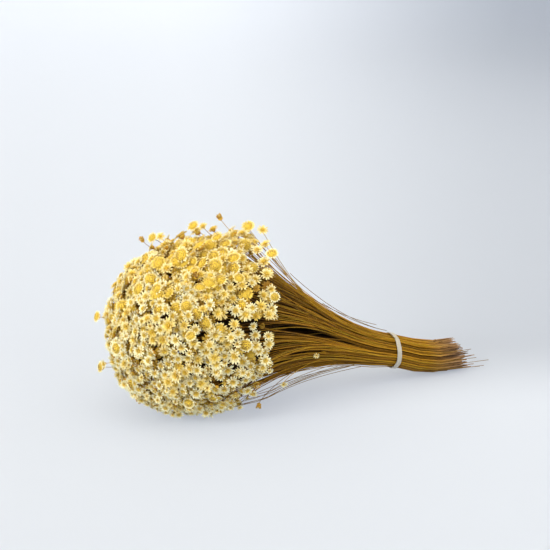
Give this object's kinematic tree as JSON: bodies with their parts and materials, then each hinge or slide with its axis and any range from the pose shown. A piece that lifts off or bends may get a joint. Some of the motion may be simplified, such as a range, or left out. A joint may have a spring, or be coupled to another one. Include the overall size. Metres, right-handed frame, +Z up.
{
  "type": "dried star flower bunch",
  "caption": "Bunch of dried cream star flowers on thin golden straws, tied with an off-white elastic band and lying on its side.",
  "frame": {"origin": "on the surface that the bunch lies on, under the middle of its bounding box", "axes": "+Z up, +X along the straws from the flowers to the cut ends, +Y across the bunch"},
  "size_m": [0.399, 0.162, 0.1832],
  "materials": {
    "straw": "dry golden-brown straw, satin, darker between the straws",
    "flower": "papery cream bracts with golden middles, matt with a faint sheen",
    "band": "off-white flat woven elastic, matt"
  },
  "bodies": {
    "root": {"straw_bundle": "straw", "elastic_band": "band", "flowers_01": "flower", "flowers_02": "flower", "flowers_03": "flower", "flowers_04": "flower", "flowers_05": "flower", "flowers_06": "flower", "flowers_07": "flower", "flowers_08": "flower", "flowers_09": "flower", "flowers_10": "flower", "flowers_11": "flower", "flowers_12": "flower", "flowers_13": "flower", "flowers_14": "flower", "flowers_15": "flower", "flowers_16": "flower", "flowers_17": "flower", "flowers_18": "flower", "flowers_19": "flower", "flowers_20": "flower", "flowers_21": "flower", "flowers_22": "flower", "flowers_23": "flower", "flowers_24": "flower", "flowers_25": "flower", "flowers_26": "flower", "flowers_27": "flower", "flowers_28": "flower", "flowers_29": "flower", "flowers_30": "flower", "flowers_31": "flower", "flowers_32": "flower", "flowers_33": "flower", "flowers_34": "flower", "flowers_35": "flower", "flowers_36": "flower", "flowers_37": "flower", "flowers_38": "flower", "flowers_39": "flower", "flowers_40": "flower", "flowers_41": "flower", "flowers_42": "flower"}
  },
  "joints": []
}
